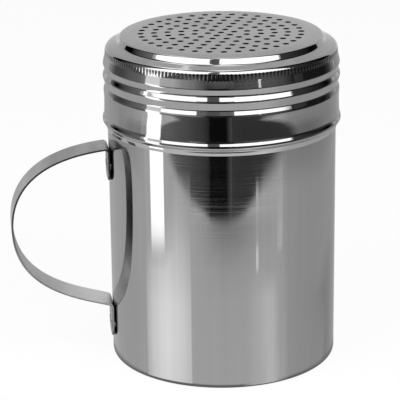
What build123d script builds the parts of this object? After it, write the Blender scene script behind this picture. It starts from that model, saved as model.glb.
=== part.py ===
"""Spice shaker: a drawn steel cup with a strap handle, under a perforated slip-on lid.

Millimetres. The cup stands on z = 0 with its axis on x = y = 0, and the handle points along -X.
The lid slips over the cup wall, which its two inward grooves grip, and lifts off along +Z.
It also turns on its own rolled rim, which is why the rim is a piece of its own.
"""

import os
from math import cos, radians, sin

from build123d import *

# Cup, drawn from one sheet
cup_radius = 33.5
cup_wall = 0.5
cup_height = 92.0
cup_corner_radius = 1.5
mouth_edge_radius = 0.15

# Lid sheet, and how it fits the cup
lid_sheet = 0.4
grip_clearance = 0.03
neck_radius = cup_radius + grip_clearance + lid_sheet

# Lid heights above (+) or below (-) the cup's mouth
crown_height = 5.9
plateau_height = 5.6
shoulder_height = 3.85
corner_height = 2.86
neck_drop = 0.0
upper_ridge_drop = 2.2
upper_groove_drop = 4.05
lower_ridge_drop = 5.8
lower_groove_drop = 8.25
band_top_drop = 10.0
band_waist_drop = 14.0
band_foot_drop = 17.1
rim_crest_drop = 18.4
rim_split_drop = 18.8
rim_bottom_drop = 21.8

# Lid's top: how far its edge stands in from the neck, and how wide its fall and its riser are
plateau_inset = 4.48
crown_fall_width = 3.25
riser_width = 0.85
plateau_radius = neck_radius - plateau_inset
crown_radius = plateau_radius - crown_fall_width
step_radius = plateau_radius + riser_width

# Lid's skirt, as steps out (+) or in (-) from the neck
corner_step = -0.23
upper_ridge_step = 0.58
lower_ridge_step = 0.74
band_step = 0.42
band_foot_step = 0.57
rim_crest_step = 0.98
rim_fold_step = 0.45

# Bends of the lid sheet, outside radii
crown_bend = 15.0
crest_bend = 0.5
plateau_bend = 0.9
step_bend = 1.0
corner_bend = 1.05
neck_bend = 1.5
ridge_bend = 0.6
groove_bend = 0.5
band_bend = 2.0
rim_bend = 0.45

# Rolled rim
rim_leaf_height = 2.6
rim_play = 0.03

# Holes in the lid: rings about the middle one, each with six more holes than the last
hole_diameter = 1.85
hole_ring_pitch = 3.89
hole_rings = 6
lid_turn = 4.3

# Handle, bent from one flat strip
strip_width = 10.2
strip_thickness = 0.6
handle_reach = 63.0
grip_height = 42.4
handle_lid_gap = 4.7
upper_tab_length = 10.0
lower_tab_length = 10.3
lower_tab_end = 6.6
handle_top = cup_height - rim_bottom_drop - handle_lid_gap
upper_tab_end = handle_top - upper_tab_length
handle_bottom = lower_tab_end + lower_tab_length
tab_bend = 1.1
tab_corner_radius = 2.8
tab_gap = 0.05

# How the strip leaves its two bends: its angle, and the reach of its curve there and at the grip
upper_angle = 5.2
upper_pull = 20.9
upper_grip_pull = 12.0
lower_angle = 17.8
lower_pull = 9.0
lower_grip_pull = 20.1

# How finely the strip's two faces follow its middle line: an even number of steps a curve
strip_steps = 12

# Spot welds, two side by side on each tab, and how far they stand in from the tab's end
weld_diameter = 2.4
weld_spacing = 5.0
weld_crown = 0.15
upper_weld_inset = 4.1
lower_weld_inset = 3.3


def ring(outline):
    """Turn an outline, drawn as radius and height, into a solid about the Z axis."""
    return revolve(Plane.XZ * make_face(outline), Axis.Z)


def at_mouth(radius, drop):
    """A point of the lid's outline: its radius, and its height below the cup's mouth."""
    return (radius, cup_height - drop)


def cup_body():
    """A straight-walled cup with a rounded bottom corner and a softened mouth edge."""
    outer = Cylinder(cup_radius, cup_height, align=(Align.CENTER, Align.CENTER, Align.MIN))
    outer = fillet(outer.edges().group_by(Axis.Z)[0], cup_corner_radius)
    hollow = Cylinder(
        cup_radius - cup_wall, cup_height, align=(Align.CENTER, Align.CENTER, Align.MIN)
    )
    hollow = Pos(0, 0, cup_wall) * fillet(
        hollow.edges().group_by(Axis.Z)[0], cup_corner_radius - cup_wall
    )
    cup = outer - hollow
    return fillet(cup.edges().group_by(Axis.Z)[-1], mouth_edge_radius)


def lid_outline():
    """The outside of the lid, from the middle of its top down to the split above its rim."""
    corners = [
        (at_mouth(crown_radius, -crown_height), crown_bend),
        (at_mouth(plateau_radius, -plateau_height), plateau_bend),
        (at_mouth(step_radius, -shoulder_height), step_bend),
        (at_mouth(neck_radius + corner_step, -corner_height), corner_bend),
        (at_mouth(neck_radius, neck_drop), neck_bend),
        (at_mouth(neck_radius + upper_ridge_step, upper_ridge_drop), ridge_bend),
        (at_mouth(neck_radius, upper_groove_drop), groove_bend),
        (at_mouth(neck_radius + lower_ridge_step, lower_ridge_drop), ridge_bend),
        (at_mouth(neck_radius, lower_groove_drop), groove_bend),
        (at_mouth(neck_radius + band_step, band_top_drop), ridge_bend),
        (at_mouth(neck_radius + band_step, band_waist_drop), band_bend),
        (at_mouth(neck_radius + band_foot_step, band_foot_drop), band_bend),
        (at_mouth(neck_radius + rim_crest_step, rim_crest_drop), crest_bend),
    ]
    crown = at_mouth(0, -crown_height)
    split = at_mouth(neck_radius + rim_crest_step, rim_split_drop)
    points = [crown, *(point for point, _ in corners), split]
    return FilletPolyline(*points, radius=[bend for _, bend in corners])


def hole_places():
    """The middle hole, then each ring of holes, in step with one another."""
    places = [Pos(0, 0, 0)]
    for k in range(1, hole_rings + 1):
        places += PolarLocations(k * hole_ring_pitch, 6 * k, start_angle=lid_turn)
    return places


def lid_shell():
    """The lid's sheet from crown to rim crest, with its holes drilled right through the top."""
    section = offset(lid_outline(), lid_sheet, side=Side.RIGHT)
    drill = Cylinder(hole_diameter / 2, 4 * lid_sheet)
    holes = [Pos(0, 0, cup_height + crown_height) * place * drill for place in hole_places()]
    return ring(section) - holes


def lid_rolled_rim():
    """The lid's rim below its crest: the sheet turns in under itself, and up beside the cup."""
    crest_radius = neck_radius + rim_crest_step
    leaf_inside = neck_radius - lid_sheet
    crest_drop = rim_split_drop + rim_play
    outline = FilletPolyline(
        at_mouth(crest_radius, crest_drop),
        at_mouth(neck_radius + rim_fold_step, rim_bottom_drop),
        at_mouth(leaf_inside, rim_bottom_drop),
        at_mouth(leaf_inside, rim_bottom_drop - rim_leaf_height),
        at_mouth(neck_radius, rim_bottom_drop - rim_leaf_height),
        at_mouth(neck_radius, rim_bottom_drop - 2 * lid_sheet),
        at_mouth(crest_radius - lid_sheet, crest_drop),
        close=True,
        radius=[0, rim_bend, lid_sheet / 2, 0, 0, 0, 0],
    )
    return ring(outline)


def handle_line():
    """The middle of the strip, from the end of the upper tab round to the end of the lower one."""
    wall = -(cup_radius + tab_gap + strip_thickness / 2)
    grip = strip_thickness / 2 - handle_reach
    out, down = radians(upper_angle), radians(lower_angle)
    upper_tab = Line((wall, upper_tab_end), (wall, handle_top))
    upper = Bezier(
        (wall, handle_top),
        (wall - upper_pull * cos(out), handle_top - upper_pull * sin(out)),
        (grip, grip_height + upper_grip_pull),
        (grip, grip_height),
    )
    lower = Bezier(
        (grip, grip_height),
        (grip, grip_height - lower_grip_pull),
        (wall - lower_pull * cos(down), handle_bottom + lower_pull * sin(down)),
        (wall, handle_bottom),
    )
    lower_tab = Line((wall, handle_bottom), (wall, lower_tab_end))
    line = Wire([upper_tab, upper, lower, lower_tab])
    bends = [line.vertices().sort_by_distance(end)[0] for end in (upper_tab @ 1, lower_tab @ 0)]
    return line.fillet_2d(tab_bend, bends)


def beside(edge, gap):
    """An edge moved sideways, to the left of its own direction."""
    places = [step / strip_steps for step in range(strip_steps + 1)]
    points = [edge @ t + (edge % t).rotate(Axis.Z, 90) * gap for t in places]
    if edge.geom_type == GeomType.LINE:
        return Line(points[0], points[-1])
    if edge.geom_type == GeomType.CIRCLE:
        return ThreePointArc(points[0], points[strip_steps // 2], points[-1])
    return Spline(*points, tangents=[edge % 0, edge % 1])


def handle_strap(rods):
    """The bent strip, with its tab corners rounded and a hole melted through at each weld."""
    middle = handle_line().edges()
    left = [beside(edge, strip_thickness / 2) for edge in middle]
    right = [beside(edge, -strip_thickness / 2) for edge in middle]
    ends = [Line(left[0] @ 0, right[0] @ 0), Line(left[-1] @ 1, right[-1] @ 1)]
    section = make_face(left + right + ends)
    strap = extrude(Plane.XZ * section, strip_width / 2, both=True)
    corners = strap.edges().filter_by(Axis.X).filter_by(lambda e: e.length < 2 * strip_thickness)
    return fillet(corners, tab_corner_radius) - rods


def tab_weld_rods(height):
    """Two weld nuggets side by side, from a low crown on the tab into the cup's wall."""
    crown_face = cup_radius + tab_gap + strip_thickness + weld_crown
    root = cup_radius - cup_wall / 2
    rod = Cylinder(
        weld_diameter / 2, crown_face - root, align=(Align.CENTER, Align.CENTER, Align.MIN)
    )
    rod = fillet(rod.edges().group_by(Axis.Z)[-1], 0.9 * weld_crown)
    rod = Pos(-root, 0, height) * Rot(0, -90, 0) * rod
    return [Pos(0, side * weld_spacing / 2, 0) * rod for side in (-1, 1)]


def main():
    filled_cup = Cylinder(cup_radius, cup_height, align=(Align.CENTER, Align.CENTER, Align.MIN))
    upper_rods = tab_weld_rods(upper_tab_end + upper_weld_inset)
    lower_rods = tab_weld_rods(lower_tab_end + lower_weld_inset)
    nodes = {
        "cup_body": cup_body(),
        "handle_strap": handle_strap(upper_rods + lower_rods),
        "upper_tab_welds": Part() + [rod - filled_cup for rod in upper_rods],
        "lower_tab_welds": Part() + [rod - filled_cup for rod in lower_rods],
        "lid_shell": lid_shell(),
        "lid_rolled_rim": lid_rolled_rim(),
    }
    os.makedirs("parts", exist_ok=True)
    for name, shape in nodes.items():
        export_step(shape, f"parts/{name}.step")
        print(name, "volume", round(shape.volume, 1), "mm3")


main()
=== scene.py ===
# %% [markdown]
# # A steel spice shaker
#
# The shaker is a drawn steel cup with a strap handle, under a lid with 127 holes. Everything is
# bright stainless steel, so the lesson is about two things: smooth, true outlines, and a studio
# that gives the steel something to show. A mirror has no colour of its own, only its surroundings.

# %% Load the frame
import math
from functools import partial

import bmesh
import bpy
import numpy as np
from mathutils import Matrix, Vector


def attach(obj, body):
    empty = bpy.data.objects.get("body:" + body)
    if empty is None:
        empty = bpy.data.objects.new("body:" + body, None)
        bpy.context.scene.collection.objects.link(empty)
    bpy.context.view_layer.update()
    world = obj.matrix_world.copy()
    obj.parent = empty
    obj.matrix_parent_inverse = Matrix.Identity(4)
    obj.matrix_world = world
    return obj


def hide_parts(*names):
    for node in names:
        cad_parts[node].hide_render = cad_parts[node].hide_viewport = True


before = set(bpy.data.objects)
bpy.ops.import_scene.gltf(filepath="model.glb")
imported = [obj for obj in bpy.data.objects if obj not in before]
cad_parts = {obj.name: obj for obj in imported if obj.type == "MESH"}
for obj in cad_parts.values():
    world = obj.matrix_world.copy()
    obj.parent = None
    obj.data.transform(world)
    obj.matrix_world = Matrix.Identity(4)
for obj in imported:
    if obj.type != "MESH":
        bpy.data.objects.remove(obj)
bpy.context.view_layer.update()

# %% [markdown]
# ## The camera
#
# A long lens from a little over half a metre looks about 18 degrees down on the shaker. The
# studio is laid out facing the camera, with +X to the right and -Y towards the lens, and the
# whole layout is then turned by 7.5 degrees, because the handle comes slightly forward.

# %% The camera
MM = 0.001
STUDIO_TURN = math.radians(-7.5)
studio = Matrix.Rotation(STUDIO_TURN, 4, "Z")


def in_studio(x, y, z):
    """A point of the studio's layout, given in millimetres, as a place in the model's frame."""
    return studio @ (Vector((x, y, z)) * MM)


def add_camera(place, yaw, pitch, roll, lens):
    """A camera that is turned from looking along +Y: yaw to the right, pitch down, then roll."""
    data = bpy.data.cameras.new("studio_camera")
    data.lens = lens
    data.sensor_width = 36
    data.clip_start = 0.01
    camera = bpy.data.objects.new("studio_camera", data)
    bpy.context.scene.collection.objects.link(camera)
    upright = Matrix.Rotation(math.pi / 2 - pitch, 4, "X")
    turned = Matrix.Rotation(-yaw, 4, "Z") @ upright @ Matrix.Rotation(-roll, 4, "Z")
    camera.matrix_world = Matrix.Translation(in_studio(*place)) @ studio @ turned
    bpy.context.scene.camera = camera
    return camera


camera = add_camera((0, -555.4, 230.5), yaw=-0.01197, pitch=0.31947, roll=0.01163, lens=176.58)
print("camera at", [round(v, 4) for v in camera.matrix_world.translation])


# %% Small helpers for objects and nodes
def node(tree, kind, inputs=None, **settings):
    """Add a node to a tree, set its options, and fill its sockets with values or links."""
    made = tree.nodes.new(kind)
    for name, value in settings.items():
        setattr(made, name, value)
    for name, value in (inputs or {}).items():
        if isinstance(value, bpy.types.NodeSocket):
            tree.links.new(value, made.inputs[name])
        else:
            made.inputs[name].default_value = value
    return made


def math_node(tree, operation, *values):
    """One Math node; its values are numbers or sockets."""
    return node(tree, "ShaderNodeMath", dict(enumerate(values)), operation=operation).outputs[0]


def attribute(tree, name):
    """A number that is stored on each point of a mesh."""
    return node(tree, "ShaderNodeAttribute", attribute_name=name).outputs["Fac"]


def grey(value):
    """A grey colour, as sockets want it."""
    return (value, value, value, 1)


def new_material(name):
    """An empty material, its node tree and its output node."""
    material = bpy.data.materials.new(name)
    material.use_nodes = True
    material.node_tree.nodes.clear()
    return material, material.node_tree, material.node_tree.nodes.new("ShaderNodeOutputMaterial")


def add_mesh(name, points, faces, material):
    """A new mesh object from points and faces, linked to the scene."""
    mesh = bpy.data.meshes.new(name)
    mesh.from_pydata([tuple(p) for p in points], [], faces)
    mesh.materials.append(material)
    made = bpy.data.objects.new(name, mesh)
    bpy.context.scene.collection.objects.link(made)
    return made


def add_attribute(made, name, values):
    """Store one number for each point of a mesh."""
    made.data.attributes.new(name, "FLOAT", "POINT").data.foreach_set("value", values)


# %% [markdown]
# ## The floor and the world
#
# The floor is plain and pale. For the camera and for mirror rays most of its shade comes from an
# even white, so it stays clean, and the rest comes from the light that falls on it, which keeps
# the shaker's shadow.

# %% The floor and the world
FLOOR_RADIUS, FLOOR_SIDES = 3.0, 64
FLOOR_SHADE = 0.86
FLOOR_EVENNESS = 0.93
AMBIENT = 0.30


def seen_directly(tree):
    """1 for rays from the camera or off polished steel or glass, and 0 for the light itself."""
    path = node(tree, "ShaderNodeLightPath").outputs
    mirrored = math_node(tree, "ADD", path["Is Glossy Ray"], path["Is Transmission Ray"])
    seen = {0: path["Is Camera Ray"], 1: mirrored}
    return node(tree, "ShaderNodeMath", seen, operation="ADD", use_clamp=True).outputs[0]


material, tree, output = new_material("white_floor")
lit = node(tree, "ShaderNodeBsdfDiffuse", {"Color": grey(FLOOR_SHADE)}).outputs[0]
even = node(tree, "ShaderNodeEmission", {"Color": grey(1), "Strength": 1.0}).outputs[0]
share = math_node(tree, "MULTIPLY", seen_directly(tree), FLOOR_EVENNESS)
mixed = node(tree, "ShaderNodeMixShader", {0: share, 1: lit, 2: even})
tree.links.new(mixed.outputs[0], output.inputs["Surface"])

floor_edge = [
    (FLOOR_RADIUS * math.cos(a), FLOOR_RADIUS * math.sin(a), 0)
    for a in np.linspace(0, 2 * math.pi, FLOOR_SIDES + 1)[:-1]
]
floor = add_mesh("floor", floor_edge, [list(range(FLOOR_SIDES))], material)

world = bpy.data.worlds.new("studio_world")
bpy.context.scene.world = world
world.use_nodes = True
tree = world.node_tree
tree.nodes.clear()
levels = {"Value": seen_directly(tree), "To Min": AMBIENT, "To Max": 1.0}
strength = node(tree, "ShaderNodeMapRange", levels).outputs[0]
background = node(tree, "ShaderNodeBackground", {"Color": grey(1), "Strength": strength})
tree.links.new(background.outputs[0], node(tree, "ShaderNodeOutputWorld").inputs["Surface"])
bpy.context.scene.view_settings.view_transform = "Standard"
print("floor", floor.name, "world", world.name)

# %% [markdown]
# ## Light for the floor
#
# Two soft area lamps stand in front, left and right. They light the floor and cast the shaker's
# soft shadow. Polished surfaces don't show them: what those show is built from cards below.

# %% Lamps
LID_MIDDLE = Vector((0, 0, 85))
LAMP_DISTANCE = 800


def toward(azimuth, elevation, distance):
    """A point in studio millimetres: azimuth 0 is towards the camera, and 90 to the right."""
    a, e = math.radians(azimuth), math.radians(elevation)
    way = Vector((math.sin(a) * math.cos(e), -math.cos(a) * math.cos(e), math.sin(e)))
    return LID_MIDDLE + way * distance


def lamp(name, azimuth, elevation, size, brightness):
    """A square area lamp that faces the shaker."""
    place = toward(azimuth, elevation, LAMP_DISTANCE)
    data = bpy.data.lights.new(name, "AREA")
    data.shape = "SQUARE"
    data.size = size
    data.energy = brightness * math.pi * size * size
    light = bpy.data.objects.new(name, data)
    bpy.context.scene.collection.objects.link(light)
    light.location = in_studio(*place)
    light.rotation_mode = "QUATERNION"
    light.rotation_quaternion = (studio @ (place - LID_MIDDLE)).to_track_quat("Z", "Y")
    light.visible_camera = light.visible_glossy = False
    print(name, [round(v, 3) for v in light.location])


for name, azimuth in (("left_lamp", -45), ("right_lamp", 35)):
    lamp(name, azimuth, elevation=38, size=0.6, brightness=4.4)

# %% [markdown]
# ## Cards: what the steel shows
#
# A mirror is lit by what stands around it. The shaker stands on a white table with a straight
# front edge, and behind that edge the room is dark: the edge becomes the dark V on the cup. Two
# softboxes make the white bands on the lid, and thin white cards make the streaks. Each card is a
# grid of points with its own shine, and it fades out where its points aren't solid. The camera
# doesn't see any of them.

# %% Helpers for cards
CUP_RADIUS = 33.5  # this and all sizes below are in millimetres
card_glow, tree, output = new_material("card_glow")
glow = node(tree, "ShaderNodeEmission", {"Color": grey(1), "Strength": attribute(tree, "shine")})
clear = node(tree, "ShaderNodeBsdfTransparent")
fade = {0: attribute(tree, "solid"), 1: clear.outputs[0], 2: glow.outputs[0]}
mixed = node(tree, "ShaderNodeMixShader", fade)
tree.links.new(mixed.outputs[0], output.inputs["Surface"])


def card(name, rows):
    """A card that only polished surfaces show. Its rows hold (x, y, z, shine, solid) points."""
    width = len(rows[0])
    corners = [corner for row in rows for corner in row]
    faces = [
        [r * width + k, r * width + k + 1, (r + 1) * width + k + 1, (r + 1) * width + k]
        for r in range(len(rows) - 1) for k in range(width - 1)
    ]
    made = add_mesh(name, [in_studio(*corner[:3]) for corner in corners], faces, card_glow)
    add_attribute(made, "shine", [corner[3] for corner in corners])
    add_attribute(made, "solid", [corner[4] for corner in corners])
    made.visible_camera = made.visible_diffuse = made.visible_shadow = False
    print(name, len(rows), "rows of", width, "points")


def shown_by_cup(azimuth, reach, lift, shine, solid):
    """The floor's point that the cup mirrors at this azimuth, 'reach' mm out from its wall."""
    a = math.radians(azimuth)
    x, y = CUP_RADIUS * math.sin(a / 2), -CUP_RADIUS * math.cos(a / 2)
    return (x + reach * math.sin(a), y - reach * math.cos(a), lift, shine, solid)


def standing(name, foot, levels):
    """A card that stands on a line (x0, y0, x1, y1), as levels of (z, shine, solid)."""
    x0, y0, x1, y1 = foot
    card(name, [[(x0, y0, *level), (x1, y1, *level)] for level in levels])


def dome(name, distance, azimuths, elevations):
    """Part of a sphere round the lid: azimuths (angle, shine) and elevations (angle, solid)."""
    card(name, [
        [(*toward(azimuth, elevation, distance), shine, solid) for azimuth, shine in azimuths]
        for elevation, solid in elevations
    ])


def across(start, end, shine, step=8):
    """Evenly spaced azimuths of one shine."""
    count = max(1, round(abs(end - start) / step))
    return [(start + (end - start) * k / count, shine) for k in range(count + 1)]


# %% The table's dark surroundings
# Points of the table's front edge: x, y, how blurred the edge is, and the shade of the room there.
FRONT_EDGE = [
    (-900, 181, 10, 0.25), (-430, 181, 10, 0.25), (-232, 178, 10, 0.30), (-163, 179, 9, 0.22),
    (-118, 183, 8, 0.18), (-88, 187, 6, 0.13), (-59, 188, 5, 0.10), (-41, 184, 5, 0.06),
    (-35, 182, 5, 0.01), (13, 180, 5, 0.01), (20, 180, 5, 0.09), (70, 181, 6, 0.08),
    (105, 183, 8, 0.08), (135, 183, 12, 0.08), (152, 181, 16, 0.08), (172, 174, 20, 0.08),
    (196, 163, 24, 0.08), (228, 155, 26, 0.08), (261, 146, 28, 0.08), (340, 128, 30, 0.08),
    (430, 110, 30, 0.08), (900, 60, 30, 0.08),
]
card("room_in_front", [
    [(x * spread, -(y + side * blur) * spread, 0.6, shade, solid)
     for x, y, blur, shade in FRONT_EDGE]
    for side, spread, solid in ((-1, 1, 0), (1, 1, 1), (1, 1.6, 1), (1, 10, 1))
])
SIDE_SLANT = 0.73  # how far back the table's side edges run for each step outwards
for name, side, shade in (("room_at_left", -1, 0.24), ("room_at_right", 1, 0.09)):
    card(name, [
        [(side * x, y, 0.4, shade, solid) for y in (-400, SIDE_SLANT * x)]
        for x, solid in ((300, 0), (470, 1), (2600, 1))
    ])

# %% [markdown]
# ### The room
#
# Each part of the room is a piece of a dome round the lid. The horizon is dark in front, where the
# lid's upright faces look, and light behind. The softboxes stand over it with a gap between them,
# and the walls, the ceiling and the lamps overhead fill the rest.

# %% The room's horizon
dome("horizon", 950, [
    (-180, 1.0), (-152, 0.95), (-144, 0.75), (-132, 0.5), (-120, 0.15), (-108, 0.15), (-96, 0.26),
    (-84, 0.31), (-70, 0.6), (-58, 1.1), (-46, 1.0), (-36, 0.62), (-24, 0.42), (-17, 0.2),
    (-13, 0.03), (6, 0.03), (12, 0.1), (24, 0.19), (46, 0.22), (60, 0.15), (72, 0.03), (115, 0.02),
    (124, 0.1), (134, 0.45), (144, 0.75), (158, 0.9), (180, 1.0),
], [(-8, 1), (2, 1), (14, 1), (17, 0)])
dome("low_left", 940, across(-92, -30, 0.2), [(-9, 1), (-1, 1), (3, 0)])

# %% Softboxes and the gap between them
SOFTBOX = 3.4
SOFTBOX_HEIGHTS = [(12.5, 0), (14.5, 1), (30, 1), (50, 1), (68, 1)]
dome("left_softbox", 850, across(-80, -9, SOFTBOX), SOFTBOX_HEIGHTS)
dome("right_softbox", 850, across(-5, 70, SOFTBOX), SOFTBOX_HEIGHTS)
dome("gap", 800, across(-14, -2, 0.2), [(11, 1), (40, 1), (75, 1)])
dome("high_gap", 780, across(-14, -2, 0.55), [(42, 0), (48, 1), (75, 1)])
dome("low_gap", 790, across(-24, 12, 0.3), [(11, 1), (21, 1), (25, 0)])

# %% The rest of the room
dome("left_wall", 900, [
    (-152, 0.95), (-145, 0.8), (-138, 0.25), (-131, 0.0), (-116, 0.0), (-108, 0.12), (-96, 0.24),
    (-84, 0.36),
], [(2, 0), (6, 1), (35, 1), (60, 1)])
dome("right_wall", 900, [
    (72, 0.1), (84, 0.08), (96, 0.05), (108, 0.03), (118, 0.0), (130, 0.02), (136, 0.25),
    (142, 0.7), (150, 0.9),
], [(2, 0), (6, 1), (35, 1), (62, 1)])
dome("ceiling", 900, [
    (-200, 0.8), (-160, 0.8), (-120, 0.75), (-60, 0.7), (-20, 0.4), (20, 0.3), (35, 0.2),
    (60, 0.14), (110, 0.14), (135, 0.3), (150, 0.7), (160, 0.8),
], [(60, 1), (70, 1), (80, 1), (90, 1)])
dome("back_wall", 870, across(130, 230, 0.78), [(0, 1), (20, 1), (45, 1), (63, 1)])
dome("back_light", 860, across(130, 230, 0.9), [(30, 0), (40, 1), (63, 1)])
dome("overhead", 840, across(150, 200, SOFTBOX), [(63, 0), (66, 1), (75, 1), (84, 1), (88, 0)])
dome("overhead_left", 835, across(-168, -138, SOFTBOX), [(50, 0), (53, 1), (66, 1), (74, 0)])
dome("overhead_gap", 830, across(-168, -150, 0.2), [(58, 1), (75, 1), (90, 1)])
dome("spark", 780, [(34.8, 1.9), (37.0, 1.9)], [(3, 0), (6, 1), (12, 1), (15, 0)])

# %% [markdown]
# ### The table, as the cup shows it
#
# The cup's wall is an upright mirror, so it shows mostly the table. The helper shown_by_cup finds
# the place on the table that the cup shows at an azimuth, and these cards lie or stand there: a
# glow at the left, a grey veil under the V, a glow at the right, and the darker ends of the table.

# %% The white strip and the glow at the left
standing("strip_card", (-121, -50, -109, -81), [
    (0, 3.2, 0), (9, 3.2, 1), (92, 3.2, 1), (100, 1.9, 1), (125, 1.2, 1),
])
STAND_OFF = 2  # how far from the cup's wall the upright cards stand
GLOW_MIDDLE = -57
GLOW_ACROSS = (
    (-84, 1.2, 0), (-82, 1.2, 1), (-74, 1.65, 1), (-60, 1.95, 1), (-46, 1.8, 1), (-32.5, 1.45, 1),
    (-31, 1.45, 0),
)
GLOW_LEVELS = (  # height, shine, and how solid the glow is left and right of its middle
    (0, 1.0, 1, 1), (12, 1.05, 1, 1), (24, 1.03, 1, 1), (34, 0.9, 1, 1), (42, 0.8, 0.4, 1),
    (50, 0.7, 0, 0.8), (66, 0.65, 0, 0),
)
card("cup_glow", [
    [shown_by_cup(a, STAND_OFF, z, shine * level, solid * (left if a < GLOW_MIDDLE else right))
     for a, shine, solid in GLOW_ACROSS]
    for z, level, left, right in GLOW_LEVELS
])

# %% The veil under the V and the glow at the right
TAIL_ACROSS = (
    (-32, 0), (-19, 0.3), (-6, 0.85), (6, 1), (13, 0.95), (25, 0.65), (38, 0.35), (52, 0.2),
    (66, 0),
)
TAIL_SHADE = 0.3
TAIL_LEVELS = ((0, 0.03), (26, 0.08), (36, 0.22), (45, 0.55), (49, 0.6), (54, 0))
card("cup_tail", [
    [shown_by_cup(a, STAND_OFF, z, TAIL_SHADE, solid * level) for a, solid in TAIL_ACROSS]
    for z, level in TAIL_LEVELS
])
RIGHT_GLOW_ACROSS = (
    (18, 1.05, 0), (30, 1.1, 1), (38, 1.15, 1), (46, 1.33, 1), (53, 1.25, 1), (60, 1.0, 0.6),
    (72, 0.95, 0),
)
card("right_glow", [
    [shown_by_cup(a, reach, 0.3, shine, solid * end) for a, shine, end in RIGHT_GLOW_ACROSS]
    for reach, solid in ((0, 1), (33, 1), (67, 1), (92, 0))
])


# %% The darker ends of the table
END_SHADE, FAR_END_SHADE = 0.45, 0.5
FAR_END = 140  # degrees round from the camera


def table_end(name, table_edge, azimuths, zones):
    """A veil over one end of the table: near the cup, farther out, at the edge, and beyond it."""
    near, farther, edge, beyond = zones
    rows = (
        (0, near), (60, near), (115, farther), (190, farther), (table_edge, edge),
        (450, beyond), (900, beyond),
    )
    card(name, [
        [shown_by_cup(a, reach, 0.2, FAR_END_SHADE if abs(a) > FAR_END else END_SHADE, solid)
         for a, solid in zip(azimuths, zone)]
        for reach, zone in rows
    ])


table_end("right_shade", 235, (56, 68, 85, 105, 130, 148, 160, 180), (
    (0, 0.35, 0.45, 0.55, 0.9, 1, 1, 1), (0, 0.35, 0.45, 0.5, 0.6, 0.95, 1, 1),
    (0.1, 0.7, 0.8, 0.8, 0.8, 0.9, 1, 1), (0.6, 1, 1, 1, 1, 1, 1, 1),
))
table_end("left_shade", 225, (-84, -98, -115, -130, -148, -160, -180), (
    (0.1, 0.2, 0.3, 0.4, 0.6, 0.8, 1), (0.1, 0.15, 0.3, 0.35, 0.6, 0.9, 1),
    (0.1, 0.4, 0.6, 0.6, 0.8, 1, 1), (0.9, 0.9, 0.7, 0.4, 0.6, 1, 1),
))

# %% The contact shade round the foot, and thin cards that make streaks
card("foot_shade", [
    [(radius * math.sin(a), -radius * math.cos(a), 0.25, 0.3, solid)
     for a in np.linspace(0, 2 * math.pi, 73)]
    for radius, solid in ((31.5, 1), (34.2, 1), (36.5, 0))
])
standing("sliver_a", (61, -108.8, 65.2, -106.7), [
    (0, 1.8, 0), (2, 1.8, 1), (8, 1.8, 1), (12, 1.12, 1), (30, 1.1, 1), (36, 1.1, 0),
])
standing("sliver_b", (107, -89, 115.5, -79.5), [
    (0, 1.2, 0), (3, 1.2, 1), (11, 1.2, 1), (16, 1.1, 1), (40, 1.1, 0),
])
standing("sliver_c", (24, -193, 30, -191), [(0, 0.15, 1), (40, 0.15, 1), (70, 0.15, 0)])

# %% [markdown]
# ## Outlines that turn into metal
#
# A drawn cup and a pressed lid are round, so each is one outline that is turned about the Z axis.
# Blender has a Spin tool and a Screw modifier for that. Here the outline's corners are written as
# a list of radius, height and bend, which reads like a drawing, and the turning is a short loop.

# %% Helpers for outlines
ARC_STEP = math.radians(5)


def rounded(corners, arc_step=ARC_STEP):
    """Walk along corners (radius, height, bend) and turn each one into an arc of its bend."""
    line = [Vector(corners[0][:2])]
    for before, here, after in zip(corners, corners[1:], corners[2:]):
        corner, bend = Vector(here[:2]), here[2]
        into = (corner - Vector(before[:2])).normalized()
        away = (Vector(after[:2]) - corner).normalized()
        turn = math.atan2(into.x * away.y - into.y * away.x, into.dot(away))
        if bend == 0 or abs(turn) < 1e-6:
            line.append(corner)
            continue
        start = corner - into * bend * math.tan(abs(turn) / 2)
        centre = start + Vector((-into.y, into.x)) * math.copysign(1, turn) * bend
        steps = max(2, math.ceil(abs(turn) / arc_step))
        for step in range(steps + 1):
            line.append(centre + Matrix.Rotation(turn * step / steps, 2) @ (start - centre))
    line.append(Vector(corners[-1][:2]))
    return line


def evened(line, longest):
    """Cut the long runs of a line into shorter ones, so that a pattern has points to move."""
    out = [line[0]]
    for a, b in zip(line, line[1:]):
        pieces = max(1, math.ceil((b - a).length / longest))
        out += [a.lerp(b, k / pieces) for k in range(1, pieces + 1)]
    return out


def inside_of(line, thickness):
    """The other face of a sheet: the line moved by its thickness to the right of its way."""
    out = []
    for k, point in enumerate(line):
        before, after = line[max(k - 1, 0)], line[min(k + 1, len(line) - 1)]
        along = (after - point).normalized() + (point - before).normalized()
        along.normalize()
        out.append(point + Vector((along.y, -along.x)) * thickness)
    return out


# %% Turn an outline
def ring_faces(low, high):
    """Faces between two rows of points. A finer row joins a coarser one, or a single pole."""
    shorter, longer = sorted((len(low), len(high)))
    steps = shorter if shorter > 1 else longer
    faces = []
    for k in range(steps):
        face = []
        for row, way in ((low, 1), (high, -1)):
            first, last = k * len(row) // steps, (k + 1) * len(row) // steps
            face += [row[j % len(row)] for j in range(first, last + 1)][::way]
        faces.append(list(dict.fromkeys(face)))
    return faces


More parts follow.
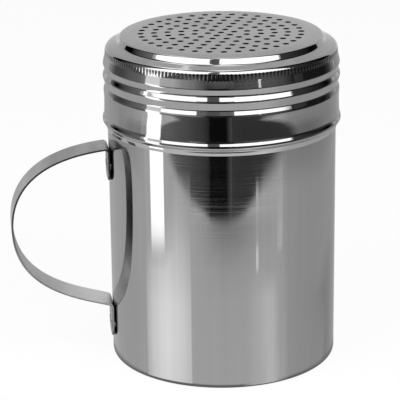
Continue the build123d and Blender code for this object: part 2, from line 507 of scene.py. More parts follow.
def lathe(name, line, segments, material, closed=False):
    """Turn a line of (radius, height) in millimetres about Z. Points on the axis become poles.

    'segments' is one number, or one for each point of the line, where one has to be a multiple of
    the next one.
    """
    counts = segments if isinstance(segments, list) else [segments] * len(line)
    points, rows = [], []
    for (radius, height), count in zip(line, counts):
        if radius < 1e-6:
            rows.append([len(points)])
            points.append((0, 0, height * MM))
            continue
        rows.append(list(range(len(points), len(points) + count)))
        for k in range(count):
            a = 2 * math.pi * k / count
            points.append((radius * MM * math.cos(a), radius * MM * math.sin(a), height * MM))
    faces = []
    for low, high in zip(rows, rows[1:] + rows[:1] * closed):
        faces += ring_faces(low, high)
    made = add_mesh(name, points, faces, material)
    made.data.polygons.foreach_set("use_smooth", [True] * len(made.data.polygons))
    return made


# %% Finish a mesh
SHARP_ANGLE = math.radians(40)
WELD_DISTANCE = 2e-6


def tidy_shell(made):
    """Merge doubled points, turn every face outwards, and say how the mesh came out."""
    work = bmesh.new()
    work.from_mesh(made.data)
    bmesh.ops.remove_doubles(work, verts=work.verts, dist=WELD_DISTANCE)
    bmesh.ops.recalc_face_normals(work, faces=work.faces)
    if work.calc_volume(signed=True) < 0:
        bmesh.ops.reverse_faces(work, faces=work.faces)
    for edge in work.edges:
        edge.smooth = edge.calc_face_angle(math.pi) < SHARP_ANGLE
    open_edges = sum(not e.is_manifold for e in work.edges)
    triangles = sum(len(f.verts) - 2 for f in work.faces)
    work.to_mesh(made.data)
    work.free()
    print(made.name, "triangles", triangles, "open or doubled edges", open_edges)
    return made


# %% [markdown]
# ## Steel that was polished on a lathe
#
# Sheet steel comes out of the press with fine marks, and the polishing wheel adds rings round the
# cup. Rings scatter a reflection up and down far more than sideways, which is why a bright lamp
# turns into a tall streak. An anisotropic shader does this once it knows which way the rings run.
#
# The lid has the same steel with three changes: its plate is satin, the walls of its holes are
# painted black as shade, because little light comes out of a hole, and painted shade darkens the
# notches of its edge.

# %% Helpers for steel
def scaled_noise(tree, place, scale, detail=2.0):
    """Noise that is stretched or squeezed along each axis by a Mapping node."""
    mapping = node(tree, "ShaderNodeMapping", {"Vector": place, "Scale": scale})
    settings = {"Vector": mapping.outputs[0], "Scale": 1.0, "Detail": detail, "Roughness": 0.5}
    return node(tree, "ShaderNodeTexNoise", settings).outputs[0]


def between(tree, value, low, high, start=0.0, end=1.0):
    """Map a value from start..end to low..high."""
    settings = {"Value": value, "From Min": start, "From Max": end, "To Min": low, "To Max": high}
    return node(tree, "ShaderNodeMapRange", settings).outputs[0]


def mix_colours(tree, share, first, second, blend="MIX"):
    """Mix two colours by a share from 0 to 1."""
    inputs = {0: share, 6: first, 7: second}
    return node(tree, "ShaderNodeMix", inputs, data_type="RGBA", blend_type=blend).outputs[2]


def steel_tones(tree, pattern, shade, contrast, start, end):
    """Steel whose shade goes up and down with a pattern; its light parts are a little warmer."""
    low = (shade * (1 - contrast), shade * (1 - contrast), shade * (1.005 - contrast), 1)
    high = (shade * (1 + contrast), shade * (1 + contrast), shade * (0.995 + contrast), 1)
    return mix_colours(tree, between(tree, pattern, 0.0, 1.0, start, end), low, high)


def bump(tree, height, depth, normal=None):
    """Bumps of a depth in millimetres, over another set of bumps if there is one."""
    inputs = {"Strength": 1.0, "Distance": depth * MM, "Height": height}
    if normal:
        inputs["Normal"] = normal
    return node(tree, "ShaderNodeBump", inputs).outputs[0]


def around_axis(tree, place):
    """The direction that runs round the Z axis, in the world's space, for the shader's tangent."""
    inputs = {0: (0, 0, 1), 1: place}
    sideways = node(tree, "ShaderNodeVectorMath", inputs, operation="CROSS_PRODUCT").outputs[0]
    return node(
        tree, "ShaderNodeVectorTransform", {0: sideways},
        vector_type="VECTOR", convert_from="OBJECT", convert_to="WORLD",
    ).outputs[0]


# %% The lid's own finish and its painted shade
SATIN_FADE = (28.9, 29.4)  # the radii between which the plate's satin ends
SATIN_LOW, SATIN_HIGH = 0.22, 0.3  # roughness
HOLES_REACH = 25.0  # a radius that has all the holes inside it
HOLE_WALL_MIDDLE, HOLE_WALL_HALF = 97.71, 0.185  # heights
# painted shade: black for the walls of the holes, dark for the notches, and how much the notches
# get
HOLE_WALL_PAINTED_SHADE, NOTCH_PAINTED_SHADE, NOTCH_PAINTED_SHADE_SHARE = 0.01, 0.03, 0.92


def dress_lid(tree, place, colour, polish):
    """Make the plate satin and paint shade: black on the holes' walls, dark in the edge's notches.
    """
    m = partial(math_node, tree)
    height = node(tree, "ShaderNodeSeparateXYZ", {0: place}).outputs[2]
    flat = node(tree, "ShaderNodeVectorMath", {0: place, 1: (1, 1, 0)}, operation="MULTIPLY")
    length = node(tree, "ShaderNodeVectorMath", {0: flat.outputs[0]}, operation="LENGTH")
    reach = length.outputs["Value"]

    grain = between(tree, scaled_noise(tree, place, (2600, 2600, 2600)), 0.88, 1.12, 0.25, 0.75)
    grainy = mix_colours(tree, 1.0, colour, grain, blend="MULTIPLY")
    on_plate = m("LESS_THAN", reach, SATIN_FADE[1] * MM)
    colour = mix_colours(tree, on_plate, colour, grainy)

    # Painted shade: the walls of the holes are made black.
    in_sheet = m("COMPARE", height, HOLE_WALL_MIDDLE * MM, HOLE_WALL_HALF * MM)
    punched = m("MULTIPLY", in_sheet, m("LESS_THAN", reach, HOLES_REACH * MM))
    colour = mix_colours(tree, punched, colour, grey(HOLE_WALL_PAINTED_SHADE))
    # Painted shade: the notches of the edge are made dark, more where they are pressed deeper.
    notch_painted_shade = between(tree, attribute(tree, "pressed"), 0.0, NOTCH_PAINTED_SHADE_SHARE, 0.0, 0.7)
    colour = mix_colours(tree, notch_painted_shade, colour, grey(NOTCH_PAINTED_SHADE))

    cloud = scaled_noise(tree, place, (60, 60, 40))
    satin = between(tree, cloud, SATIN_LOW, SATIN_HIGH, 0.3, 0.7)
    matt = between(tree, reach, 1.0, 0.0, SATIN_FADE[0] * MM, SATIN_FADE[1] * MM)
    return colour, node(tree, "ShaderNodeMix", {0: matt, 2: polish, 3: satin}).outputs[0]


# %% Steel materials
STREAK_DEPTH = 0.0001
BRIGHTEST, DULLEST = 0.02, 0.11  # roughness


def turned_steel(name, shade, spread, rings, dress=None):
    """Bright steel with rings round Z, whose bumps are 'rings' deep in millimetres."""
    material, tree, output = new_material(name)
    place = node(tree, "ShaderNodeTexCoord").outputs["Object"]
    ring_noise = scaled_noise(tree, place, (12, 12, 1100), detail=4.0)
    fine_rings = scaled_noise(tree, place, (20, 20, 5200))
    streak_noise = scaled_noise(tree, place, (900, 900, 9), detail=3.0)
    colour = steel_tones(tree, streak_noise, shade, contrast=0.025, start=0.3, end=0.7)
    polish = between(tree, fine_rings, BRIGHTEST, DULLEST, 0.35, 0.75)
    if dress:
        colour, polish = dress(tree, place, colour, polish)
    steel = node(tree, "ShaderNodeBsdfPrincipled", {
        "Metallic": 1.0, "Base Color": colour, "Roughness": polish,
        "Anisotropic": spread, "Anisotropic Rotation": 0.25, "Tangent": around_axis(tree, place),
        "Normal": bump(tree, streak_noise, STREAK_DEPTH, bump(tree, ring_noise, rings)),
    })
    tree.links.new(steel.outputs[0], output.inputs["Surface"])
    return material


cup_steel = turned_steel("cup_steel", 0.33, spread=0.9, rings=0.0006)
lid_steel = turned_steel("lid_steel", 0.33, spread=0.5, rings=0.0002, dress=dress_lid)
# The rim is the lid's sheet with its steel made lighter: painted light that brightens its
# reflections.
rim_steel_painted_lighter = turned_steel("rim_steel_painted_lighter", 0.42, spread=0.5, rings=0.0002)
print("steels", cup_steel.name, lid_steel.name, rim_steel_painted_lighter.name)

# %% [markdown]
# ## The cup
#
# The cup is drawn from one sheet, half a millimetre thick: a straight wall, a small corner at the
# bottom and a mouth that the lid hides. Its outline runs out along the bottom, up the outside,
# over the mouth and back down the inside.

# %% The cup
CUP_WALL, CUP_HEIGHT = 0.5, 92.0
CUP_CORNER, MOUTH_EDGE = 1.5, 0.15
CUP_SEGMENTS = 256

cup_inside = CUP_RADIUS - CUP_WALL
cup_line = rounded([
    (0, 0, 0),
    (CUP_RADIUS, 0, CUP_CORNER),
    (CUP_RADIUS, CUP_HEIGHT, MOUTH_EDGE),
    (cup_inside, CUP_HEIGHT, MOUTH_EDGE),
    (cup_inside, CUP_WALL, CUP_CORNER - CUP_WALL),
    (0, CUP_WALL, 0),
])
cup = tidy_shell(lathe("drawn_cup", cup_line, CUP_SEGMENTS, cup_steel))
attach(cup, "cup")
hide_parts("cup_body")

# %% [markdown]
# ## The lid
#
# The lid is one pressed sheet. From the top down it has a perforated plate, a riser, a shoulder,
# a knurled edge for the fingers, two ridges with a groove under each, a plain band, and a flare
# to the rim. Heights are given from the cup's mouth and radii from the lid's neck.

# %% The lid's outline
LID_SHEET, GRIP_CLEARANCE = 0.4, 0.03
NECK = CUP_RADIUS + GRIP_CLEARANCE + LID_SHEET
PLATE_RADIUS, PLATE_TOP = 25.2, CUP_HEIGHT + 5.9


def lid_corner(step, drop, bend):
    """A corner of the lid: how far out from its neck, how far below the mouth, and its bend."""
    return (NECK + step, CUP_HEIGHT - drop, bend)


LID_FORM = (
    (-7.73, -5.9, 15.0), (-4.48, -5.6, 0.7), (-3.63, -3.85, 1.0),  # plate's edge and riser
    (-0.20, -2.76, 1.5), (0.0, -0.3, 1.5),  # shoulder and knurled edge
    (0.58, 2.2, 1.1), (0.0, 4.05, 1.3), (0.74, 5.8, 1.3), (0.0, 8.25, 0.9),  # ridges and grooves
    (0.43, 9.5, 1.5), (0.53, 10.05, 1.0), (0.385, 12.3, 25.0), (0.44, 14.5, 25.0),  # band
    (0.53, 17.0, 1.2), (0.62, 17.6, 0.8), (0.94, 18.28, 0.4), (0.975, 18.8, 0),  # flare
)
lid_corners = [(PLATE_RADIUS, PLATE_TOP, 0)] + [lid_corner(*corner) for corner in LID_FORM]
lid_skirt = rounded(lid_corners)
print("lid outline points", len(lid_skirt))

# %% Build the lid's skirt
NOTCHES = 186
KNURL_LOW, KNURL_HIGH = 0.1, 2.2  # above the cup's mouth
KNURL_ROW = 0.2
LID_SEGMENTS = 2 * NOTCHES
INNER_ARC_STEP = math.radians(15)


def in_knurl(point, margin=0.1):
    """Whether a point of the outline is on the knurled edge."""
    height = point.y - CUP_HEIGHT
    return KNURL_LOW - margin < height < KNURL_HIGH + margin and point.x > NECK - 1


def with_knurl_rows(line):
    """Give the outline extra points where the knurled edge needs them."""
    out = [line[0]]
    for a, b in zip(line, line[1:]):
        near_knurl = in_knurl(a, 0.3) or in_knurl(b, 0.3)
        out += evened([a, b], KNURL_ROW)[1:] if near_knurl else [b]
    return out


outer = with_knurl_rows(lid_skirt)
inner = inside_of(rounded(lid_corners, INNER_ARC_STEP), LID_SHEET)
outer_counts = [LID_SEGMENTS * (2 if in_knurl(point) else 1) for point in outer]
inner_counts = [LID_SEGMENTS] * len(inner)
skirt = lathe("perforated_lid", outer + inner[::-1], outer_counts + inner_counts, lid_steel)
add_attribute(skirt, "outside", [1.0] * sum(outer_counts) + [0.0] * sum(inner_counts))
print("skirt rows", len(outer), len(inner))

# %% [markdown]
# ## Holes and notches with Geometry Nodes
#
# The plate has a middle hole and six rings round it, each with six more holes than the last. The
# knurled edge has 186 upright notches. Hundreds of boolean cuts would be slow and would leave
# long thin faces. But both follow a rule, so a node tree makes them from a few numbers: one set
# places a small collar at every hole and fills the plate between them, and one set presses the
# notches into the skirt.

# %% Helpers for Geometry Nodes
def new_tree(name, sizes):
    """A geometry tree with a geometry input and output and one named input for each size."""
    tree = bpy.data.node_groups.new(name, "GeometryNodeTree")
    tree.interface.new_socket("Geometry", in_out="OUTPUT", socket_type="NodeSocketGeometry")
    tree.interface.new_socket("Geometry", in_out="INPUT", socket_type="NodeSocketGeometry")
    for label, kind in sizes.items():
        tree.interface.new_socket(label, in_out="INPUT", socket_type="NodeSocket" + kind)
    return tree, node(tree, "NodeGroupInput").outputs, node(tree, "NodeGroupOutput")


def apply_tree(made, tree, values):
    """Run a geometry tree on an object with the given inputs, and keep the result as its mesh."""
    modifier = made.modifiers.new(tree.name, "NODES")
    modifier.node_group = tree
    for item in tree.interface.items_tree:
        if item.in_out == "INPUT" and item.name in values:
            modifier[item.identifier] = values[item.name]
    bpy.context.view_layer.update()
    evaluated = made.evaluated_get(bpy.context.evaluated_depsgraph_get())
    mesh = bpy.data.meshes.new_from_object(evaluated)
    made.modifiers.remove(modifier)
    made.data = mesh
    print(tree.name, "leaves", len(mesh.polygons), "faces")


def shape_node(tree, kind, inputs, **settings):
    """A node's geometry."""
    return node(tree, "GeometryNode" + kind, inputs, **settings).outputs[0]


def moved(tree, shape, height):
    """A shape, lifted."""
    shift = node(tree, "ShaderNodeCombineXYZ", {"Z": height}).outputs[0]
    return shape_node(tree, "Transform", {"Geometry": shape, "Translation": shift})


def flipped(tree, shape):
    """A shape whose faces look the other way."""
    return shape_node(tree, "FlipFaces", {0: shape})


def joined(tree, shapes):
    """Several shapes as one."""
    join = node(tree, "GeometryNodeJoinGeometry")
    for shape in shapes:
        tree.links.new(shape, join.inputs[0])
    return join.outputs[0]


# %% Where the holes are
def hole_points(tree, size):
    """One point for each hole: point 0 in the middle, then ring after ring of six more each."""
    m = partial(math_node, tree)
    rings = size["Rings"]
    count = m("ADD", m("MULTIPLY", m("MULTIPLY", rings, m("ADD", rings, 1)), 3), 1)
    points = shape_node(tree, "Points", {"Count": count})
    # A point's ring k is the smallest whole number with 3k(k + 1) not below the point's index.
    index = node(tree, "GeometryNodeInputIndex").outputs[0]
    under_root = m("ADD", m("MULTIPLY", index, 12), 9)
    root = m("DIVIDE", m("SUBTRACT", m("SQRT", under_root), 3), 6)
    ring = m("CEIL", m("SUBTRACT", root, 1e-4))
    first = m("ADD", m("MULTIPLY", m("MULTIPLY", ring, m("SUBTRACT", ring, 1)), 3), 1)
    step = m("DIVIDE", 2 * math.pi, m("MAXIMUM", m("MULTIPLY", ring, 6), 1))
    angle = m("ADD", m("MULTIPLY", m("SUBTRACT", index, first), step), size["First Angle"])
    radius = m("MULTIPLY", ring, size["Ring Pitch"])
    x, y = m("MULTIPLY", m("COSINE", angle), radius), m("MULTIPLY", m("SINE", angle), radius)
    place = node(tree, "ShaderNodeCombineXYZ", {"X": x, "Y": y}).outputs[0]
    return shape_node(tree, "SetPosition", {"Geometry": points, "Position": place})


# %% What is at each hole
HOLE_SEGMENTS, GUARD_RING = 20, 0.1


def on_holes(tree, holes, shape):
    """A copy of the shape at every hole."""
    spread = shape_node(tree, "InstanceOnPoints", {"Points": holes, "Instance": shape})
    return shape_node(tree, "RealizeInstances", {0: spread})


def collar(tree, low_radius, low, high_radius, high):
    """A ring of faces from one radius and height to another."""
    depth = math_node(tree, "SUBTRACT", high, low)
    return moved(tree, shape_node(tree, "MeshCone", {
        "Vertices": HOLE_SEGMENTS, "Side Segments": 1, "Radius Bottom": low_radius,
        "Radius Top": high_radius, "Depth": depth,
    }, fill_type="NONE"), low)


def sheet_face(tree, size, holes, hole_radius):
    """The flat of the plate, filled between its edge and a circle at every hole."""
    around_hole = {"Resolution": HOLE_SEGMENTS, "Radius": hole_radius}
    around_plate = {"Resolution": size["Plate Segments"], "Radius": size["Plate Radius"]}
    circle = shape_node(tree, "CurvePrimitiveCircle", around_hole)
    edge = shape_node(tree, "CurvePrimitiveCircle", around_plate)
    both = joined(tree, [on_holes(tree, holes, circle), edge])
    return shape_node(tree, "FillCurve", {0: both}, mode="TRIANGLES")


# %% A tree for the perforated plate
SEAM_DISTANCE = 5e-6


def perforated_plate_tree():
    """Holes in rings: a collar at each hole, and flat faces between the collars."""
    tree, size, output = new_tree("perforated_plate", {
        "Plate Radius": "Float", "Plate Height": "Float", "Plate Segments": "Int",
        "Sheet": "Float", "Hole Radius": "Float", "Hole Edge": "Float",
        "Ring Pitch": "Float", "Rings": "Int", "First Angle": "Float", "Finish": "Material",
    })
    m = partial(math_node, tree)
    holes = hole_points(tree, size)
    hole, edge = size["Hole Radius"], size["Hole Edge"]
    lip = m("ADD", hole, edge)
    guard, low_guard = m("ADD", lip, GUARD_RING * MM), m("ADD", hole, GUARD_RING * MM)
    half_way = m("SUBTRACT", lip, m("MULTIPLY", edge, math.sin(math.pi / 4)))
    half_down = m("MULTIPLY", edge, math.cos(math.pi / 4) - 1)
    under_edge, bottom = m("MULTIPLY", edge, -1), m("MULTIPLY", size["Sheet"], -1)
    collars = [collar(tree, guard, 0.0, lip, 0.0)]
    for low_radius, low, high_radius, high in (
        (half_way, half_down, lip, 0.0), (hole, under_edge, half_way, half_down),
        (hole, bottom, hole, under_edge), (low_guard, bottom, hole, bottom),
    ):
        collars.append(flipped(tree, collar(tree, low_radius, low, high_radius, high)))
    top = sheet_face(tree, size, holes, guard)
    underside = flipped(tree, moved(tree, sheet_face(tree, size, holes, low_guard), bottom))
    plate = joined(tree, [*(on_holes(tree, holes, shape) for shape in collars), top, underside])
    raised = moved(tree, plate, size["Plate Height"])
    smooth = shape_node(tree, "SetShadeSmooth", {"Geometry": raised})
    real = shape_node(tree, "RealizeInstances", {0: joined(tree, [smooth, size["Geometry"]])})
    merged = shape_node(tree, "MergeByDistance", {"Geometry": real, "Distance": SEAM_DISTANCE})
    finish = shape_node(tree, "SetMaterial", {"Geometry": merged, "Material": size["Finish"]})
    tree.links.new(finish, output.inputs[0])
    return tree


# %% A tree for the knurled edge
NOTCH_TAPER = 2.8  # how fast a notch closes away from its middle


def knurl_tree():
    """Press upright notches into the outside of a turned skirt, between two heights."""
    tree, size, output = new_tree("knurled_edge", {
        "Notches": "Int", "Depth": "Float", "Low": "Float", "High": "Float",
        "Low Run Out": "Float", "High Run Out": "Float", "Finish": "Material",
    })
    m = partial(math_node, tree)
    place = node(tree, "GeometryNodeInputPosition").outputs[0]
    x, y, z = node(tree, "ShaderNodeSeparateXYZ", {0: place}).outputs
    turns = m("MULTIPLY", m("ARCTAN2", y, x), m("DIVIDE", size["Notches"], 2 * math.pi))
    off_middle = m("ABSOLUTE", m("SUBTRACT", turns, m("ROUND", turns)))
    from_low = m("DIVIDE", m("SUBTRACT", z, size["Low"]), size["Low Run Out"])
    from_high = m("DIVIDE", m("SUBTRACT", size["High"], z), size["High Run Out"])
    window = m("MINIMUM", m("MINIMUM", from_low, from_high), 1)
    notch = m("MAXIMUM", m("SUBTRACT", window, m("MULTIPLY", off_middle, NOTCH_TAPER)), 0)
    outside = shape_node(tree, "InputNamedAttribute", {"Name": "outside"}, data_type="FLOAT")
    share = m("MULTIPLY", notch, outside)
    flat = node(tree, "ShaderNodeCombineXYZ", {"X": x, "Y": y}).outputs[0]
    outward = node(tree, "ShaderNodeVectorMath", {0: flat}, operation="NORMALIZE").outputs[0]
    press = {0: outward, "Scale": m("MULTIPLY", m("MULTIPLY", share, size["Depth"]), -1)}
    shift = node(tree, "ShaderNodeVectorMath", press, operation="SCALE").outputs[0]
    pressed = shape_node(tree, "SetPosition", {"Geometry": size["Geometry"], "Offset": shift})
    marks = {"Geometry": pressed, "Name": "pressed", "Value": share}
    real = shape_node(tree, "RealizeInstances", {0: shape_node(tree, "StoreNamedAttribute", marks)})
    finish = shape_node(tree, "SetMaterial", {"Geometry": real, "Material": size["Finish"]})
    tree.links.new(finish, output.inputs[0])
    return tree


# %% Press the notches, punch the plate
apply_tree(skirt, knurl_tree(), {
    "Notches": NOTCHES, "Depth": 0.13 * MM, "Low": (CUP_HEIGHT + KNURL_LOW) * MM,
    "High": (CUP_HEIGHT + KNURL_HIGH) * MM, "Low Run Out": 1.7 * MM, "High Run Out": 0.4 * MM,
    "Finish": lid_steel,
})
apply_tree(skirt, perforated_plate_tree(), {
    "Plate Radius": PLATE_RADIUS * MM, "Plate Height": PLATE_TOP * MM,
    "Plate Segments": LID_SEGMENTS, "Sheet": LID_SHEET * MM, "Hole Radius": 0.925 * MM,
    "Hole Edge": 0.05 * MM, "Ring Pitch": 3.89 * MM, "Rings": 6,
    "First Angle": math.radians(4.3), "Finish": lid_steel,
})
lid = tidy_shell(skirt)
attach(lid, "lid")
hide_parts("lid_shell")

# %% [markdown]
# ## The rolled rim
#
# The lid's lower edge is turned in under itself, so that no cut edge meets the hand. Outside it
# falls from the crest to the cup's wall, and inside a narrow leaf stands up along the wall. It
# could be one outline with the skirt, but the lid turns on it, so it is a piece of its own.

# %% The rolled rim
RIM_SPLIT, RIM_BOTTOM, RIM_LEAF = 18.83, 21.4, 2.2
RIM_CREST = 0.975
RIM_FORM = (
    (RIM_CREST - 0.2, RIM_SPLIT, 0), (RIM_CREST, RIM_SPLIT, 0), (RIM_CREST - 0.01, 19.05, 0.4),
    (0.18, 19.9, 0.4), (0.04, 20.1, 0.15), (0.03, 20.5, 0.15),  # the fall to the cup's wall
    (-0.18, RIM_BOTTOM, 0.12), (-LID_SHEET, RIM_BOTTOM, 0),
    (-LID_SHEET, RIM_BOTTOM - RIM_LEAF, 0),  # the leaf
)
rim_line = rounded([lid_corner(*corner) for corner in RIM_FORM])
rim = tidy_shell(lathe("rolled_lid_rim", rim_line, CUP_SEGMENTS, rim_steel_painted_lighter, closed=True))
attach(rim, "rim")
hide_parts("lid_rolled_rim")

# %% [markdown]
# ## The handle
#
# The handle is a flat strip, bent to a loop, with a tab at each end. Its middle line is drawn as
# two Bezier curves between the bends, the strip's section is a thin rectangle with soft edges,
# and the section is carried along the line. A curve with a bevel profile could do that too, but
# here the section narrows at both ends, which gives the tabs their round corners.

# %% Helpers for the handle's line
def bezier(a, b, c, d, steps=40):
    """Points along a cubic Bezier curve."""
    a, b, c, d = map(Vector, (a, b, c, d))
    ts = [k / steps for k in range(steps + 1)]
    return [
        a * (1 - t) ** 3 + b * 3 * t * (1 - t) ** 2 + c * 3 * t * t * (1 - t) + d * t**3
        for t in ts
    ]


def softened_corner(before, after, bend, steps=6):
    """Join two lines that meet at a corner by an arc-like curve of about that bend."""
    corner = before[-1]
    into = (before[-1] - before[-2]).normalized()
    away = (after[1] - after[0]).normalized()
    turn = math.acos(max(-1, min(1, into.dot(away))))
    reach = bend * math.tan(turn / 2)
    pull = 4 / 3 * math.tan(turn / 4) * bend
    start, end = corner - into * reach, corner + away * reach
    arc = bezier(start, start + into * pull, end - away * pull, end, steps)
    keep_before = [p for p in before if (p - corner).length > reach]
    keep_after = [p for p in after if (p - corner).length > reach]
    return keep_before + arc + keep_after


# %% The handle's middle line
STRIP_WIDTH, STRIP_THICKNESS = 10.2, 0.6
TAB_GAP, TAB_BEND, TAB_CORNER = 0.05, 1.1, 2.8
HANDLE_TOP, HANDLE_BOTTOM, UPPER_TAB_END, LOWER_TAB_END = 65.5, 16.9, 55.5, 6.6
HANDLE_REACH, GRIP_HEIGHT = 63.0, 42.4
UPPER_ANGLE, UPPER_PULL, UPPER_GRIP_PULL = math.radians(5.2), 20.9, 12.0
LOWER_ANGLE, LOWER_PULL, LOWER_GRIP_PULL = math.radians(17.8), 9.0, 20.1
TAB_STEP = 0.5

wall = -(CUP_RADIUS + TAB_GAP + STRIP_THICKNESS / 2)
grip = STRIP_THICKNESS / 2 - HANDLE_REACH
upper_tab = evened([Vector((wall, UPPER_TAB_END)), Vector((wall, HANDLE_TOP))], TAB_STEP)
upper = bezier(
    (wall, HANDLE_TOP),
    (wall - UPPER_PULL * math.cos(UPPER_ANGLE), HANDLE_TOP - UPPER_PULL * math.sin(UPPER_ANGLE)),
    (grip, GRIP_HEIGHT + UPPER_GRIP_PULL),
    (grip, GRIP_HEIGHT),
)
lower = bezier(
    (grip, GRIP_HEIGHT),
    (grip, GRIP_HEIGHT - LOWER_GRIP_PULL),
    (wall - LOWER_PULL * math.cos(LOWER_ANGLE), HANDLE_BOTTOM + LOWER_PULL * math.sin(LOWER_ANGLE)),
    (wall, HANDLE_BOTTOM),
)
lower_tab = evened([Vector((wall, HANDLE_BOTTOM)), Vector((wall, LOWER_TAB_END))], TAB_STEP)
middle_line = softened_corner(upper_tab, upper + lower[1:], TAB_BEND)
middle_line = softened_corner(middle_line, lower_tab, TAB_BEND)
print("handle line", len(middle_line), "points")

# %% The strip's section, and where it stands along the line
EDGE_ROUND, EDGE_GUARD = 0.12, 0.25


def strip_section(half_width):
    """The strip's section: (across, depth, cut) points, where cut is 1 on its two cut edges."""
    half = STRIP_THICKNESS / 2
    section = []
    for sx, sy, start in ((1, 1, 0), (-1, 1, 90), (-1, -1, 180), (1, -1, 270)):
        arc = []
        for a in (0, 30, 60, 90):
            c, s = math.cos(math.radians(start + a)), math.sin(math.radians(start + a))
            across, depth = sx * (half_width - EDGE_ROUND), sy * (half - EDGE_ROUND)
            arc.append((across + EDGE_ROUND * c, depth + EDGE_ROUND * s, abs(c)))
        guard = (sx * (half_width - EDGE_GUARD), sy * half, 0.0)
        section += [*arc, guard] if sx * sy > 0 else [guard, *arc]
    return section


def place_on_line(line, lengths, s):
    """The line's point at the length s from its start, and the direction across the line there."""
    k = max(1, next((i for i, v in enumerate(lengths) if v >= s - 1e-9), len(lengths) - 1))
    t = (s - lengths[k - 1]) / (lengths[k] - lengths[k - 1])
    ahead = (line[k] - line[k - 1]).normalized()
    back = line[k - 1] - line[max(k - 2, 0)]
    front = line[min(k + 1, len(line) - 1)] - line[k]
    if back.length > 0 and front.length > 0:
        at_start = (back.normalized() + ahead).normalized()
        at_end = (ahead + front.normalized()).normalized()
        ahead = at_start.lerp(at_end, t).normalized()
    return line[k - 1].lerp(line[k], t), Vector((-ahead.y, ahead.x))


def tab_cut(from_end):
    """How much narrower the strip is on each side near a tab's round end."""
    left = max(0.0, TAB_CORNER - from_end)
    return TAB_CORNER - math.sqrt(max(0.0, TAB_CORNER**2 - left**2))


# %% Carry the section along the line
def build_strap(line, material):
    """A strip mesh along the line. Its points say if they're on the inner face or a cut edge."""
    lengths = [0.0]
    for a, b in zip(line, line[1:]):
        lengths.append(lengths[-1] + (b - a).length)
    extra = [TAB_CORNER * (1 - math.cos(math.radians(a))) for a in range(0, 91, 9)]
    stations = sorted({round(s, 4) for s in lengths + extra + [lengths[-1] - e for e in extra]})
    points, inner, edges = [], [], []
    for s in stations:
        place, through = place_on_line(line, lengths, s)
        cut = tab_cut(min(s, lengths[-1] - s))
        for across, depth, cut_edge in strip_section(STRIP_WIDTH / 2 - cut):
            spot = place + through * depth
            points.append((spot.x * MM, across * MM, spot.y * MM))
            inner.append(float(depth > 0))
            edges.append(cut_edge)
    rows = len(stations)
    per = len(points) // rows
    faces = [
        [r * per + k, r * per + (k + 1) % per, (r + 1) * per + (k + 1) % per, (r + 1) * per + k]
        for r in range(rows - 1) for k in range(per)
    ]
    faces += [list(range(per)), list(range((rows - 1) * per, rows * per))]
    made = add_mesh("strap_handle", points, faces, material)
    add_attribute(made, "inner_face", inner)
    add_attribute(made, "cut_edge", edges)
    made.data.polygons.foreach_set("use_smooth", [True] * (len(faces) - 2) + [False, False])
    return made


# %% [markdown]
# ### Painted light and shade on the handle
#
# The strip is brushed along its length. On top of that its colour carries painted light: a painted
# highlight on the outside where the hand holds it and inside the lower leg, and painted shade
# inside higher up, outside at the top, and on the two cut edges, more the higher they are. So
# the finish reads the height and two attributes of the mesh: which points are on the inner face
# and which are on a cut edge.

# %% The strap's finish, with painted light and shade
# colours of the painted highlight and the painted shade on the strap
STRAP_PAINTED_HIGHLIGHT, STRAP_PAINTED_SHADE = grey(0.7), grey(0.0)
LINE_DEPTH = 0.002


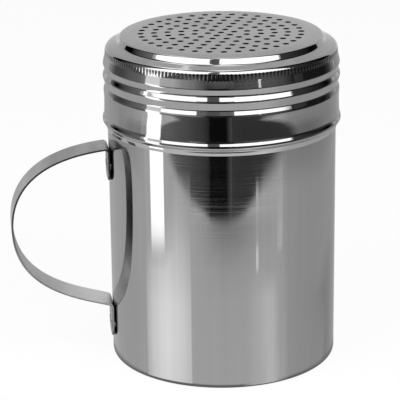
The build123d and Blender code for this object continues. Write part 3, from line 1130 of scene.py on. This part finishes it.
def painted_strap_light(tree, place):
    """How much painted highlight and painted shade the strip gets in each place, as two shares."""
    m = partial(math_node, tree)
    height = node(tree, "ShaderNodeSeparateXYZ", {0: place}).outputs[2]

    def ramp(bottom, top, low, high):
        """Go from low to high between two heights in millimetres."""
        return between(tree, height, low, high, bottom * MM, top * MM)

    inside, cut = attribute(tree, "inner_face"), attribute(tree, "cut_edge")
    outside = m("SUBTRACT", 1.0, inside)
    # Painted shade: inside from the lower leg up, outside at the top, and on the cut edges.
    inner_shade_ramp = m("MULTIPLY", ramp(19, 32, 0.0, 0.42), ramp(44, 54, 1.0, 0.5))
    inner_painted_shade = m("MULTIPLY", inside, inner_shade_ramp)
    top = m("MULTIPLY", outside, ramp(55, 62, 0.0, 0.22))
    edges = m("MULTIPLY", cut, ramp(34, 44, 0.4, 0.85))
    # Painted highlight: inside the lower leg, and outside where the hand holds the grip.
    lower_leg = m("MULTIPLY", inside, ramp(18.5, 24.5, 0.7, 0.0))
    grip_painted_highlight = m("MINIMUM", ramp(24, 36, 0.0, 0.5), ramp(46, 57, 0.5, 0.0))
    painted_highlight_share = m("MAXIMUM", lower_leg, m("MULTIPLY", outside, grip_painted_highlight))
    return painted_highlight_share, m("MAXIMUM", m("MAXIMUM", inner_painted_shade, top), edges)


def strap_finish(name, shade, roughness):
    """Satin steel whose fine lines run along the strip, with painted light and shade mixed in."""
    material, tree, output = new_material(name)
    place = node(tree, "ShaderNodeTexCoord").outputs["Object"]
    lines = scaled_noise(tree, place, (25, 1500, 25), detail=4.0)
    patches = scaled_noise(tree, place, (230, 40, 230), detail=3.0)
    cloud = scaled_noise(tree, place, (150, 150, 150))
    brushed = math_node(tree, "ADD", lines, patches)
    colour = steel_tones(tree, brushed, shade, contrast=0.18, start=0.8, end=1.2)
    # Mix in the painted highlight and the painted shade.
    painted_highlight_share, painted_shade_share = painted_strap_light(tree, place)
    colour = mix_colours(tree, painted_shade_share, mix_colours(tree, painted_highlight_share, colour, STRAP_PAINTED_HIGHLIGHT), STRAP_PAINTED_SHADE)
    steel = node(tree, "ShaderNodeBsdfPrincipled", {
        "Metallic": 1.0, "Base Color": colour,
        "Roughness": between(tree, cloud, roughness * 0.92, roughness * 1.08, 0.3, 0.7),
        "Normal": bump(tree, lines, LINE_DEPTH),
    })
    tree.links.new(steel.outputs[0], output.inputs["Surface"])
    return material


strap = tidy_shell(build_strap(middle_line, strap_finish("strap_steel", 0.34, 0.3)))
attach(strap, "cup")
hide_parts("handle_strap")

# %% [markdown]
# ## The spot welds
#
# Two melted spots hold each tab to the cup. They are small, round and already right as solids, so
# the CAD's own pieces stay and only get a finish, a little darker than the strip.

# %% Spot welds
weld_steel = strap_finish("weld_steel", 0.30, 0.35)
for name in ("upper_tab_welds", "lower_tab_welds"):
    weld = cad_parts[name]
    weld.data.materials.clear()
    weld.data.materials.append(weld_steel)
    print(name, "has", weld.data.materials[0].name)
